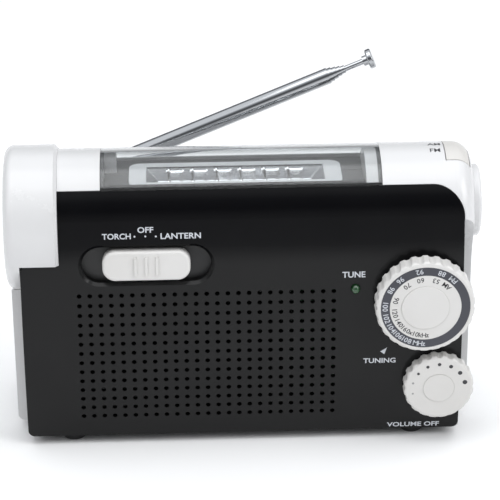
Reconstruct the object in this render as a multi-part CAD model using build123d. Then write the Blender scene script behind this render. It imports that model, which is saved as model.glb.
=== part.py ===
from build123d import *
import os
from math import atan2, cos, degrees, hypot, pi, sin, sqrt

# Hand-cranked emergency radio with a torch, a lantern, a telescopic aerial and an AM/FM tuner.
# Millimetres. The origin lies on the table under the middle of the cabinet, +X is the listener's
# right, the front faces -Y and +Z is up.

# Cabinet
panel_width = 187.8
side_step = 5.1
depth = 62.0
height = 126.4
belly_radius = 321.0
belly_height = 44.0
foot_height = 4.4
foot_radius = 5.0
foot_inset = 19.7
foot_setback = 10.8
wall = 2.4
front_depth = 17.0
cover_rise = 9.0
panel_corner = 13.0
panel_bottom_corner = 3.0
side_shoulder = 3.0
end_round = 8.0
shoulder_height = 78.0
shoulder_sweep = 26.0

# Fits
seam = 0.15
slide_fit = 0.3
shaft_fit = 0.06
tube_fit = 0.05

# Torch head
torch_length = 21.5
torch_radius = 31.0
torch_axis_height = 97.0
torch_underside = 87.3
torch_lens_radius = 17.4
torch_proud = 1.2

# Lantern bay
bay_from_torch = 18.3
bay_from_right = 39.7
cover_thickness = 1.8
tray_thickness = 2.0
tray_drop = 2.4
end_block = 6.5
frame_margin = 13.9
frame_depth = 24.6
frame_corner = 5.0
trough_depth_y = 17.0
trough_margin = 7.0
trough_height = 6.6
cell_pitch = 10.26
cell_width = 7.6
cell_depth = 13.0
cell_height = 5.2

# Speaker and grille
grille_x = -15.4
grille_columns = 25
grille_rows = 14
grille_pitch = 4.5
grille_hole = 2.0
speaker_radius = 33.0
speaker_depth = 18.0

# Lamp switch
pocket_from_torch = 8.1
pocket_length = 57.6
pocket_height = 18.5
pocket_z = 86.6
pocket_bevel = 1.4
pocket_depth = 5.0
pocket_wall = 1.2
slider_length = 37.2
slider_height = 13.0
slider_corner = 5.5
slider_proud = 1.6
slider_travel = 4.5
rib_spacing = 4.55
rib_height = 8.0
rib_width = 1.2
rib_proud = 0.8
stem_half = 2.5

# Knobs
tuning_from_right = 17.0
tuning_z = 69.0
tuning_radius = 21.2
tuning_thickness = 7.3
tuning_scallops = 26
scale_outer = 19.0
scale_inner = 15.2
tuning_cap_radius = 10.2
volume_from_right = 9.9
volume_z = 28.7
volume_radius = 15.2
volume_thickness = 5.2
volume_scallops = 20
volume_cap_radius = 6.7
knob_gap = 0.4
shaft_radius = 3.0
inlay = 0.6

# Tuning lamp
lamp_from_right = 46.0
lamp_z = 74.2
lamp_radius = 2.0

# Band switch
band_from_right = 6.8
band_width = 10.0
band_length = 20.0
band_travel = 4.0
band_front = -9.8

# Aerial
aerial_from_torch = 11.5
aerial_z = 101.9
aerial_y = 33.5
aerial_lift = 22.7
aerial_tube = 115.0
aerial_radius = 3.6
aerial_wall = 0.42
aerial_sections = 6
aerial_step = 1.9
aerial_rod_shows = 8.5
aerial_tip_radius = 4.4
boss_radius = 9.0
boss_stand = 2.1
swivel_radius = 5.0

# Crank and dynamo
hub_radius = 15.5
hub_proud = 3.6
hub_depth = 20.5
crank_slot = 9.0
crank_arm_width = 7.0
crank_arm_thickness = 3.4
crank_hinge = 10.5
crank_reach = 18.5
crank_knob_radius = 3.9
crank_knob_length = 7.2
pin_radius = 1.1
crank_shaft_radius = 3.0
gear_module = 0.8
crank_teeth = 40
idler_pinion_teeth = 10
idler_teeth = 36
dynamo_teeth = 10
gear_slack = 0.15

# Batteries and boards
cell_radius = 7.1
cell_length = 50.0
cell_gap = 1.2
door_relief = 0.4
board_thickness = 1.6
screw_radius = 1.5
post_radius = 3.5
ferrite_radius = 5.0

# Values worked out from the sizes above
half_panel = panel_width / 2
half_shell = half_panel + side_step
half_depth = depth / 2
split_y = -half_depth + front_depth
panel_top = height - cover_rise
belly_centre = belly_radius - half_depth
rise = height - belly_height
barrel_radius = (2 * belly_radius * half_depth - half_depth**2 - rise**2) / (2 * (belly_radius - rise))
barrel_z = height - barrel_radius
torch_right = -half_shell + torch_length
bay_left = torch_right + bay_from_torch
bay_right = half_shell - bay_from_right
tray_top = panel_top - tray_drop
tuning_x = half_panel - tuning_from_right
volume_x = half_panel - volume_from_right
lamp_x = half_panel - lamp_from_right
band_x = half_shell - band_from_right
aerial_x = torch_right + aerial_from_torch
hub_front = half_shell + hub_proud
hub_bottom = hub_front - hub_depth
plate_right = hub_bottom - 3.4
plate_left = plate_right - 18.6
idler_offset = gear_module * (crank_teeth + idler_pinion_teeth) / 2 + gear_slack
dynamo_offset = gear_module * (idler_teeth + dynamo_teeth) / 2 + gear_slack
idler_y = 8.0
idler_z = barrel_z - sqrt(idler_offset**2 - idler_y**2)
dynamo_y = 10.0
dynamo_z = idler_z - sqrt(dynamo_offset**2 - (dynamo_y - idler_y) ** 2)
gear_back = idler_y + gear_module * idler_teeth / 2 + 1.6
board_left = grille_x + speaker_radius + 6
board_right = half_panel - wall - 3
board_bottom = foot_height + 13.6
board_top = barrel_z - hub_radius - 3.2
battery_left = -half_panel + 22
battery_length = cell_length + 6
battery_bottom = foot_height + wall + 2.4
cell_pitch_z = 2 * cell_radius + cell_gap
battery_high = 3 * cell_pitch_z + 2.2
boss_face = barrel_radius + boss_stand
ferrite_y = 13.0
ferrite_z = barrel_z - 4.0
ferrite_left = torch_right + 24
ferrite_right = bay_right - 24
frame_x = (bay_left + bay_right) / 2 - 2.1
frame_length = bay_right - bay_left - 2 * frame_margin
pocket_x = torch_right + pocket_from_torch + pocket_length / 2
pocket_inner_length = pocket_length - 2 * pocket_bevel
pocket_inner_height = pocket_height - 2 * pocket_bevel
board_y = split_y + 1.4


def surface_y(z, inset=0.0):
    """Y of the front skin at height z, measured inset below the outer surface."""
    return belly_centre - sqrt((belly_radius - inset) ** 2 - (z - belly_height) ** 2)


def block(x0, x1, y0, y1, z0, z1):
    """A box between two corners."""
    return Pos((x0 + x1) / 2, (y0 + y1) / 2, (z0 + z1) / 2) * Box(x1 - x0, y1 - y0, z1 - z0)


def rod_x(x0, x1, y, z, radius):
    """A round bar along X."""
    return Pos((x0 + x1) / 2, y, z) * Rot(0, 90, 0) * Cylinder(radius, x1 - x0)


def rod_y(y0, y1, x, z, radius):
    """A round bar along Y."""
    return Pos(x, (y0 + y1) / 2, z) * Rot(90, 0, 0) * Cylinder(radius, y1 - y0)


def rod_z(z0, z1, x, y, radius):
    """A round bar along Z."""
    return Pos(x, y, (z0 + z1) / 2) * Cylinder(radius, z1 - z0)


def save(name, *pieces):
    """Write one sub-part, which may be several separate solids."""
    solids = [solid for piece in pieces for solid in piece.solids()]
    part = solids[0] if len(solids) == 1 else Compound(children=solids)
    export_step(part, f"parts/{name}.step")
    print(name, len(solids), round(sum(solid.volume for solid in solids)))


def side_profile(inset=0.0, base=foot_height):
    """Side view of the cabinet: two shallow bellies that run into the round barrel on top."""
    reach = belly_radius - inset
    span = hypot(belly_centre, barrel_z - belly_height)
    tangent_y = belly_centre - belly_centre / span * reach
    tangent_z = belly_height + (barrel_z - belly_height) / span * reach
    base_y = belly_centre - sqrt(reach**2 - (base - belly_height) ** 2)
    middle_z = (base + tangent_z) / 2
    middle_y = belly_centre - sqrt(reach**2 - (middle_z - belly_height) ** 2)
    top = barrel_z + barrel_radius - inset
    outline = Curve() + [
        Line((base_y, base), (-base_y, base)),
        ThreePointArc((-base_y, base), (-middle_y, middle_z), (-tangent_y, tangent_z)),
        ThreePointArc((-tangent_y, tangent_z), (0, top), (tangent_y, tangent_z)),
        ThreePointArc((tangent_y, tangent_z), (middle_y, middle_z), (base_y, base)),
    ]
    return Plane.YZ * make_face(outline)


def cabinet_bar(x0, x1, inset=0.0, base=foot_height):
    """The side profile run along X from x0 to x1."""
    return Pos(x0, 0, 0) * extrude(side_profile(inset, base), x1 - x0)


def panel_outline(inset=0.0):
    """Front view of the black front moulding, with the step for the torch head at upper left."""
    left = -half_panel + inset
    right = half_panel - inset
    bottom = foot_height + inset
    top = panel_top - inset
    notch_x = torch_right + seam + inset
    notch_z = torch_underside - seam - inset
    corners = [(left, bottom), (right, bottom), (right, top), (notch_x, top), (notch_x, notch_z), (left, notch_z)]
    face = make_face(Polyline(*corners, close=True))

    def round_corner(shape, corner, radius):
        x, z = corner
        vertex = shape.vertices().sort_by_distance((x, z, 0))[0]
        return fillet(vertex, max(radius - inset, 0.4))

    face = round_corner(face, corners[2], panel_corner)
    face = round_corner(face, corners[0], panel_bottom_corner)
    face = round_corner(face, corners[1], panel_bottom_corner)
    face = round_corner(face, corners[5], panel_bottom_corner)
    return Plane.XZ * face


def pocket_place():
    """Where the lamp switch pocket sits: on the skin, tilted with it, its own -Y pointing outwards."""
    tilt = degrees(atan2(pocket_z - belly_height, belly_centre - surface_y(pocket_z)))
    return Pos(pocket_x, surface_y(pocket_z), pocket_z) * Rot(-tilt, 0, 0)


def pocket_cut():
    """The round-ended opening with a bevelled rim in which the slider runs."""
    outer = Pos(0, -0.4, 0) * (Plane.XZ * SlotOverall(pocket_length + 0.8, pocket_height + 0.8))
    slot = Plane.XZ * SlotOverall(pocket_inner_length, pocket_inner_height)
    through = Pos(0, pocket_depth + 1, 0) * extrude(slot, pocket_depth + 4)
    return pocket_place() * (loft([outer, Pos(0, pocket_bevel, 0) * slot]) + through)


screw_places = [
    (-half_panel + 9.5, foot_height + 9.0),
    (half_panel - 9.5, foot_height + 9.0),
    (torch_right + post_radius + 0.3, belly_height + grille_pitch * (grille_rows - 1) / 2 - 1.0),
    (bay_right - 7.3, barrel_z - 3.0),
]


def front_cabinet():
    low = foot_height - 2
    skin = cabinet_bar(-half_shell, half_shell, 0, low) & (Pos(0, split_y, 0) * extrude(panel_outline(), depth))
    hollow = cabinet_bar(-half_shell, half_shell, wall, low)
    hollow &= Pos(0, split_y + 1, 0) * extrude(panel_outline(wall), depth)
    part = skin - hollow
    posts = [rod_y(-half_depth, split_y, x, z, post_radius) for x, z in screw_places]
    ring = rod_y(-half_depth, -half_depth + 5.5, grille_x, belly_height, speaker_radius + 1.6)
    ring -= rod_y(-half_depth - 1, -half_depth + 6.5, grille_x, belly_height, speaker_radius - 3.0)
    board_posts = [
        rod_y(-half_depth, board_y, x, z, 2.5)
        for x, z in ((board_left + 5, board_bottom + 5), (board_left + 5, board_top - 5), (board_right - 5, 48.0))
    ]
    tub = Plane.XZ * SlotOverall(pocket_inner_length + 2 * pocket_wall, pocket_inner_height + 2 * pocket_wall)
    tub = pocket_place() * Pos(0, pocket_depth, 0) * extrude(tub, pocket_depth + 1)
    inner = cabinet_bar(-half_panel + 0.5, half_panel - 0.5, 0.5)
    part += [item & inner for item in posts + [ring, tub] + board_posts]
    holes = [
        location * Cylinder(grille_hole / 2, 12)
        for location in Pos(grille_x, -half_depth, belly_height) * Rot(90, 0, 0)
        * GridLocations(grille_pitch, grille_pitch, grille_columns, grille_rows)
    ]
    part -= holes
    part -= pocket_cut()
    for x, z in ((tuning_x, tuning_z), (volume_x, volume_z)):
        part -= rod_y(-half_depth - 5, -half_depth + 8, x, z, shaft_radius + 1.5)
    part -= rod_y(-half_depth - 5, -half_depth + 10, lamp_x, lamp_z, lamp_radius + 0.05)
    part -= [rod_y(split_y - 8, split_y + 1, x, z, screw_radius) for x, z in screw_places]
    part -= rod_x(hub_bottom - 1, half_shell, 0, barrel_z, hub_radius + slide_fit)
    return part


def side_boundary(x0, x1, sweeps):
    """What is cut off the side strip of the rear moulding in front of its rounded shoulder."""
    high = shoulder_height + shoulder_sweep
    reach = surface_y(high)
    turn = (shoulder_sweep**2 + (split_y - reach) ** 2) / (2 * (split_y - reach))
    angle = atan2(shoulder_sweep, turn - (split_y - reach)) / 2
    middle = (split_y - turn * (1 - cos(angle)), shoulder_height + turn * sin(angle))
    if sweeps:
        outline = Curve() + [
            Line((-depth, 0), (split_y, 0)),
            Line((split_y, 0), (split_y, shoulder_height)),
            ThreePointArc((split_y, shoulder_height), middle, (reach, high)),
            Line((reach, high), (-depth, high)),
            Line((-depth, high), (-depth, 0)),
        ]
        face = make_face(outline)
    else:
        face = make_face(Polyline((-depth, 0), (split_y, 0), (split_y, height), (-depth, height), close=True))
    return Pos(x0, 0, 0) * extrude(Plane.YZ * face, x1 - x0)


def rear_cabinet():
    body = cabinet_bar(-half_shell, half_shell)
    right_end = body.faces().sort_by(Axis.X)[-1]
    body = fillet(right_end.edges(), end_round)
    left_end = body.faces().sort_by(Axis.X)[0]
    body = fillet(left_end.edges(), side_shoulder)
    hollow = cabinet_bar(-half_shell + wall, half_shell - wall, wall)
    hollow = fillet(hollow.faces().sort_by(Axis.X)[-1].edges(), end_round - wall)
    lip = split_y + wall
    hollow_front = cabinet_bar(-half_panel + wall, half_panel - wall, wall, foot_height + wall)
    cavity = (hollow & block(-half_shell, half_shell, lip, depth, foot_height + wall, height)) + hollow_front
    part = body - cavity
    part -= Pos(0, split_y, 0) * extrude(panel_outline(-seam), depth)
    part -= side_boundary(half_panel + seam, half_shell + 1, True)
    part -= side_boundary(-half_shell - 1, -half_panel + panel_bottom_corner, False)
    part -= rod_x(-half_shell - 1, torch_right, 0, torch_axis_height, torch_radius + seam)
    part -= block(bay_left - seam, bay_right + seam, -depth, depth, panel_top, height + 1)
    inner = cabinet_bar(-half_shell + 0.5, half_shell - 0.5, 0.5)
    posts = [rod_y(split_y, half_depth, x, z, post_radius) & inner for x, z in screw_places]
    ribs = [
        block(plate_left, hub_bottom - 3.0, gear_back, half_depth, z, z + 3) & inner
        for z in (barrel_z - 46.0, barrel_z - 20.0)
    ]
    saddles = [
        block(x, x + 3, ferrite_y, half_depth, ferrite_z - 5, ferrite_z + 5) & inner
        for x in (ferrite_left + 8, ferrite_right - 11)
    ]
    boss = rod_y(boss_face - 6, boss_face, aerial_x, aerial_z, boss_radius)
    part += posts + ribs + saddles + [boss]
    part -= rod_x(ferrite_left, ferrite_right, ferrite_y, ferrite_z, ferrite_radius)
    part -= [rod_y(split_y - 1, half_depth + 1, x, z, screw_radius + 0.2) for x, z in screw_places]
    part -= [rod_y(-surface_y(z) - 3.2, half_depth + 1, x, z, 3.0) for x, z in screw_places]
    part -= rod_x(half_shell - end_round - 2, half_shell + 1, 0, barrel_z, hub_radius + slide_fit)
    part -= door_opening(seam)
    part -= rod_y(boss_face - 9, boss_face + 1, aerial_x, aerial_z, swivel_radius + shaft_fit)
    part -= band_opening()
    return part


def door_opening(gap):
    """The hole for the battery door, with its lower edge rounded about the hinge."""
    x0 = battery_left + 1.4 - gap
    x1 = battery_left + battery_length - 1.4 + gap
    z0 = battery_bottom + 1.4 + wall / 2
    z1 = battery_bottom + battery_high - 1.4 + gap
    hinge_y = -surface_y(z0) - wall / 2
    upper = block(x0, x1, 0, depth, z0, z1)
    relief = block(x0, x1, hinge_y, depth, z0 - wall / 2 - door_relief, z0 + 0.1)
    return upper + rod_x(x0, x1, hinge_y, z0, wall / 2 + gap) + relief


def band_opening():
    x = band_x
    y1 = band_front + band_length + band_travel + slide_fit
    return block(
        x - band_width / 2 - slide_fit, x + band_width / 2 + slide_fit,
        band_front - slide_fit, y1, barrel_z + hub_radius + 1.3, height + 1,
    )


def under_cover(x0, x1):
    """What fills the lantern bay above the tray, from the tray up to the inside of the cover."""
    upper = cabinet_bar(x0, x1, cover_thickness + 0.2) & block(x0, x1, -depth, depth, panel_top, height)
    lower = cabinet_bar(x0, x1, wall) & block(x0, x1, split_y, depth, tray_top, panel_top)
    return upper + lower


def torch():
    x0 = -half_shell - torch_proud
    z = torch_axis_height
    cut = block(
        -half_panel - seam, torch_right + 1, -depth, split_y + seam, 0, torch_underside,
    )
    body = rod_x(x0, torch_right, 0, z, torch_radius)
    body = fillet(body.edges().group_by(Axis.X)[0], 4.0)
    body = chamfer(body.edges().group_by(Axis.X)[-1], 1.4)
    body -= rod_x(x0 + wall, torch_right - wall, 0, z, torch_radius - wall)
    body += rod_x(x0, x0 + 16, 0, z, torch_lens_radius + 1.0)
    body -= rod_x(x0 - 1, x0 + 17, 0, z, torch_lens_radius)
    body -= rod_x(torch_right - wall - 1, torch_right + 1, 0, z, 8.0)
    save("torch_housing", body - cut)

    lens = rod_x(x0 + 0.6, x0 + 2.4, 0, z, torch_lens_radius)
    save("torch_lens", lens)
    outer, inner, back = torch_lens_radius, 4.2, 13.0
    bowl = [(x0 + 2.4, outer), (x0 + 2.4, outer - 1.0)]
    curve = [(x0 + 2.4 + back * share, inner + (outer - 1.0 - inner) * sqrt(1 - share)) for share in (0.3, 0.6, 0.85)]
    bowl += curve + [(x0 + 2.4 + back, inner), (x0 + 3.4 + back, inner), (x0 + 3.4 + back, inner + 1.0)]
    bowl += [(px + 0.5, pr + 0.9) for px, pr in reversed(curve)]
    reflector = revolve(make_face(Polyline(*bowl, close=True)), Axis.X)
    save("torch_reflector", Pos(0, 0, z) * reflector)
    board_x = x0 + 3.4 + back
    save("torch_board", rod_x(board_x, board_x + board_thickness, 0, z, 11.0))
    led = rod_x(board_x - 5.5, board_x, 0, z, 2.4)
    led += Pos(board_x - 5.5, 0, z) * Sphere(2.4)
    save("torch_led", led)


def lantern():
    cover = cabinet_bar(bay_left, bay_right) - cabinet_bar(bay_left - 1, bay_right + 1, cover_thickness)
    above = block(bay_left - 2, bay_right + 2, -depth, depth, panel_top, height + 1)
    save("lantern_cover", cover & above)

    trough_x = frame_length - 2 * trough_margin
    tray = cabinet_bar(bay_left, bay_right, wall) & block(
        bay_left, bay_right, -depth, depth, tray_top - tray_thickness, tray_top,
    )
    tray -= block(
        frame_x - trough_x / 2 - 1.2, frame_x + trough_x / 2 + 1.2,
        -trough_depth_y / 2 - 1.2, trough_depth_y / 2 + 1.2, tray_top - 5, tray_top + 1,
    )
    for x in (bay_left, bay_right - 1.4):
        tray += under_cover(x, x + 1.4)
    tray -= block(bay_left + 1.4, bay_right - 1.4, 2.4, 2.9, tray_top - 0.5, tray_top + 1)
    save("lantern_tray", tray)

    plate = extrude(RectangleRounded(frame_length, frame_depth, frame_corner), 0.8)
    bowl = Pos(0, 0, -trough_height) * extrude(
        Rectangle(trough_x + 2.4, trough_depth_y + 2.4), trough_height,
    )
    top_face = Pos(0, 0, 0.9) * Rectangle(trough_x, trough_depth_y)
    low_face = Pos(0, 0, 1.0 - trough_height) * Rectangle(trough_x - 11.0, cell_depth + 1.0)
    frame = Pos(frame_x, 0, tray_top) * (plate + bowl - loft([low_face, top_face]))
    save("lantern_reflector", frame)

    count = int((trough_x - 11.0 + cell_pitch - cell_width) / cell_pitch)
    floor = tray_top + 1.0 - trough_height
    cells = []
    for index in range(count):
        x = frame_x + (index - (count - 1) / 2) * cell_pitch
        cell = Pos(x, 0, floor + cell_height / 2) * Box(cell_width, cell_depth, cell_height)
        top_edges = cell.edges().filter_by(Axis.X).group_by(Axis.Z)[-1]
        cells.append(fillet(top_edges, 2.4))
    save("lantern_leds", *cells)
    board_top_z = tray_top - trough_height
    save("lantern_board", block(
        frame_x - trough_x / 2, frame_x + trough_x / 2, -9, 9, board_top_z - board_thickness, board_top_z,
    ))

    for name, x0, x1, front in (
        ("lantern_end_left", bay_left + 1.4, bay_left + end_block, 4.0),
        ("lantern_end_right", bay_right - end_block, bay_right - 1.4, -depth),
    ):
        save(name, under_cover(x0, x1) & block(x0, x1, front, depth, tray_top, height))


def lamp_switch():
    place = pocket_place()
    plate_back = pocket_depth + 1.6
    stem_room = stem_half + slider_travel + slide_fit
    plate_x = pocket_length / 2
    plate_z = pocket_height / 2
    plate = block(-plate_x, plate_x, pocket_depth, plate_back, -plate_z, plate_z)
    plate -= block(-stem_room, stem_room, pocket_depth - 1, plate_back + 1, -1.9, 1.9)
    ring_room = rod_y(-depth, depth, grille_x, belly_height, speaker_radius + 1.7)
    save("slider_plate", place * plate - ring_room)

    back = pocket_depth - 0.1
    face = Plane.XZ * RectangleRounded(slider_length, slider_height, slider_corner)
    slider = Pos(0, back, 0) * extrude(face, back + slider_proud)
    slider = fillet(slider.faces().sort_by(Axis.Y)[0].edges(), 1.3)
    for index in (-1, 0, 1):
        x = index * rib_spacing
        slider += block(x - rib_width / 2, x + rib_width / 2, -slider_proud - rib_proud, -slider_proud + 0.5,
                        -rib_height / 2, rib_height / 2)
    slider += block(-stem_half, stem_half, back - 0.5, plate_back + 2.6, -1.6, 1.6)
    save("lamp_slider", place * slider)

    switch = block(-13, 13, plate_back, plate_back + 7, -5, 5)
    switch -= block(-stem_room, stem_room, plate_back - 1, plate_back + 3.2, -1.9, 1.9)
    for index in (-3, -1, 1, 3):
        x = index * stem_half
        switch += block(x - 0.4, x + 0.4, plate_back + 7, plate_back + 9.5, -0.8, 0.8)
    save("lamp_switch", place * switch)


def knob_blank(radius, thickness, scallops, x, z):
    """A round knob with a scalloped rim, its back just clear of the panel."""
    back = -half_depth - knob_gap
    front = back - thickness
    blank = rod_y(front, back, x, z, radius)
    blank = fillet(blank.edges().group_by(Axis.Y)[0], 1.5)
    cuts = []
    for index in range(scallops):
        angle = 2 * pi * index / scallops
        reach = radius + 1.5
        cuts.append(rod_y(front - 1, back + 1, x + reach * cos(angle), z + reach * sin(angle), 2.2))
    return blank - cuts


def d_shaft(x, z, y0, y1, radius):
    """A round shaft with a flat along one side."""
    return rod_y(y0, y1, x, z, radius) - block(x - 5, x + 5, y0 - 1, y1 + 1, z + radius - 0.8, z + radius + 2)


def controls():
    back = -half_depth - knob_gap
    board = block(board_left, board_right, board_y, board_y + board_thickness, board_bottom, board_top)

    front = back - tuning_thickness
    shaft = d_shaft(tuning_x, tuning_z, back - 4.5, board_y - 6.5, shaft_radius)
    knob = knob_blank(tuning_radius, tuning_thickness, tuning_scallops, tuning_x, tuning_z) - shaft
    ring = rod_y(front, front + inlay, tuning_x, tuning_z, scale_outer)
    ring -= rod_y(front - 1, front + inlay + 1, tuning_x, tuning_z, scale_inner)
    cap = rod_y(front - 0.3, front + inlay, tuning_x, tuning_z, tuning_cap_radius)
    save("tuning_knob", knob - ring - cap)
    save("tuning_scale", ring)
    save("tuning_cap", fillet(cap.edges().group_by(Axis.Y)[0], 0.25))
    save("tuning_shaft", shaft)
    capacitor = block(tuning_x - 10, tuning_x + 10, board_y - 11, board_y, tuning_z - 10, tuning_z + 10)
    capacitor += rod_y(board_y - 12.6, board_y - 11, tuning_x, tuning_z, 4.4)
    capacitor -= rod_y(board_y - 14, board_y - 6, tuning_x, tuning_z, shaft_radius + shaft_fit)
    save("tuning_capacitor", capacitor)

    front = back - volume_thickness
    shaft = d_shaft(volume_x, volume_z, back - 3.2, board_y - 5, shaft_radius)
    knob = knob_blank(volume_radius, volume_thickness, volume_scallops, volume_x, volume_z) - shaft
    cap = rod_y(front - 0.2, front + inlay, volume_x, volume_z, volume_cap_radius)
    save("volume_knob", knob - cap)
    save("volume_cap", cap)
    save("volume_shaft", shaft)
    pot = rod_y(board_y - 8, board_y, volume_x, volume_z, 7.2)
    pot += rod_y(board_y - 12, board_y - 8, volume_x, volume_z, 4.2)
    pot -= rod_y(board_y - 14, board_y - 4.5, volume_x, volume_z, shaft_radius + shaft_fit)
    save("volume_potentiometer", pot)

    lamp_front = surface_y(lamp_z) - 0.3
    lamp = rod_y(lamp_front, lamp_front + 7, lamp_x, lamp_z, lamp_radius) + Pos(lamp_x, lamp_front, lamp_z) * Sphere(
        lamp_radius)
    lamp += rod_y(lamp_front + 4, lamp_front + 5, lamp_x, lamp_z, lamp_radius + 0.6)
    for x in (lamp_x - 1, lamp_x + 1):
        lamp += rod_y(lamp_front + 6, board_y, x, lamp_z, 0.3)
    save("tune_lamp", lamp)
    chips = block(board_left + 14, board_left + 24, board_y + board_thickness, board_y + board_thickness + 2, 38, 50)
    chips += block(board_left + 36, board_left + 43, board_y + board_thickness, board_y + board_thickness + 9, 26, 33)
    save("main_board", board + chips)


def speaker():
    y0 = -half_depth + 5.5
    radius = speaker_radius
    basket = [(radius, y0), (radius, y0 + 1.6), (radius - 3, y0 + 1.6), (15, y0 + speaker_depth - 7),
              (15, y0 + speaker_depth - 8.2), (radius - 5, y0)]
    frame = revolve(make_face(Polyline(*basket, close=True)), Axis.Y)
    for turn in range(4):
        window = Rot(0, 45 + 90 * turn, 0) * block(15.5, radius - 5.5, y0 + 2.2, y0 + speaker_depth, -7, 7)
        frame -= window
    cone = [(radius - 3.2, y0 - 0.5), (radius - 3.2, y0), (radius - 6, y0), (8, y0 + 8.6), (0, y0 + 6.6),
            (0, y0 + 6.0), (8, y0 + 7.4), (radius - 6.2, y0 - 0.5)]
    paper = revolve(make_face(Polyline(*cone, close=True)), Axis.Y)
    place = Pos(grille_x, 0, belly_height)
    save("speaker_frame", place * frame)
    save("speaker_cone", place * paper)
    save("speaker_magnet", rod_y(y0 + speaker_depth - 7, y0 + speaker_depth + 2, grille_x, belly_height, 16))


def ferrite():
    y = ferrite_y
    save("ferrite_rod", rod_x(ferrite_left, ferrite_right, y, ferrite_z, ferrite_radius))
    coil = rod_x(ferrite_left + 22, ferrite_left + 44, y, ferrite_z, ferrite_radius + 1.6)
    save("ferrite_coil", coil - rod_x(ferrite_left, ferrite_right, y, ferrite_z, ferrite_radius))


def band():
    x0 = band_x - band_width / 2
    outer = cabinet_bar(-half_shell, half_shell)
    outer = fillet(outer.faces().sort_by(Axis.X)[-1].edges(), end_round)
    knob = outer & block(
        x0, x0 + band_width, band_front, band_front + band_length, barrel_z + hub_radius + 1.6, height + 1,
    )
    knob -= rod_x(x0 - 1, x0 + band_width + 1, 0, barrel_z, barrel_radius - 6.5)
    tongue_z = height - wall - 2.2
    tongue = block(x0 - 10, x0 + 1, -2, 2, tongue_z, tongue_z + 1)
    tongue += block(x0 - 10, x0 - 8, -1, 1, tongue_z - 2, tongue_z + 0.5)
    save("band_knob", knob + tongue)
    switch = block(x0 - 13.5, x0 - 4.5, -7, 8, tongue_z - 4.2, tongue_z - 0.4)
    switch -= block(x0 - 10 - slide_fit, x0 - 8 + slide_fit, -1 - slide_fit, 1 + band_travel + slide_fit,
                    tongue_z - 2.4, tongue_z)
    save("band_switch", switch)


def aerial():
    lift = Rot(0, -aerial_lift, 0)
    place = Pos(aerial_x, 0, aerial_z) * lift
    flange_y = boss_face + 0.1
    swivel = rod_y(flange_y, flange_y + 1.4, 0, 0, 7.5)
    swivel += rod_y(boss_face - 6.5, flange_y + 0.2, 0, 0, swivel_radius)
    swivel += rod_y(boss_face - 8.0, boss_face - 6.1, 0, 0, swivel_radius + 1.6)
    for side in (-1, 1):
        cheek = block(-4, 4, flange_y + 0.7, aerial_y + 3, side * 2.9 - 0.7, side * 2.9 + 0.7)
        swivel += cheek - rod_z(-5, 5, 0, aerial_y, pin_radius)
    save("aerial_swivel", place * swivel)
    save("aerial_pin", place * rod_z(-3.6, 3.6, 0, aerial_y, pin_radius))

    lug = block(0, 7, aerial_y - 2.8, aerial_y + 2.8, -2.1, 2.1) + rod_z(-2.1, 2.1, 0, aerial_y, 2.8)
    lug -= rod_z(-5, 5, 0, aerial_y, pin_radius + shaft_fit)
    tube = lug + rod_x(5.5, aerial_tube, aerial_y, 0, aerial_radius)
    tube -= rod_x(8, aerial_tube + 1, aerial_y, 0, aerial_radius - aerial_wall)
    save("aerial_tube", place * tube)
    radius = aerial_radius
    mouth = aerial_tube
    for number in range(2, aerial_sections):
        radius -= aerial_wall + tube_fit
        mouth += aerial_step
        section = rod_x(8.5 + number * 0.3, mouth, aerial_y, 0, radius)
        section -= rod_x(8, mouth + 1, aerial_y, 0, radius - aerial_wall)
        save(f"aerial_section_{number}", place * section)
    radius -= aerial_wall + tube_fit
    rod_end = mouth + aerial_rod_shows
    save(f"aerial_section_{aerial_sections}", place * rod_x(11, rod_end, aerial_y, 0, radius))
    tip = rod_x(rod_end, rod_end + 2, aerial_y, 0, 2.25)
    button = rod_x(rod_end + 2, rod_end + 4.6, aerial_y, 0, aerial_tip_radius)
    tip += fillet(button.edges(), 0.7)
    save("aerial_tip", place * tip)


def gear(teeth, thickness):
    """A spur gear about Z with straight-sided teeth, one tooth on +X."""
    pitch_radius = gear_module * teeth / 2
    tip = pitch_radius + 0.8 * gear_module
    root = pitch_radius - 1.15 * gear_module
    outline = []
    for index in range(teeth):
        angle = 2 * pi * index / teeth
        for reach, share in ((root, -0.27), (tip, -0.11), (tip, 0.11), (root, 0.27)):
            turn = angle + share * 2 * pi / teeth
            outline.append((reach * cos(turn), reach * sin(turn)))
    return extrude(make_face(Polyline(*outline, close=True)), thickness)


def gear_x(teeth, x, y, z, thickness, aim):
    """A gear about X with a tooth pointing along aim, an angle from +Y towards +Z."""
    return Pos(x, y, z) * Rot(aim, 0, 0) * Rot(0, 90, 0) * Rot(0, 0, 90) * gear(teeth, thickness)


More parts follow.
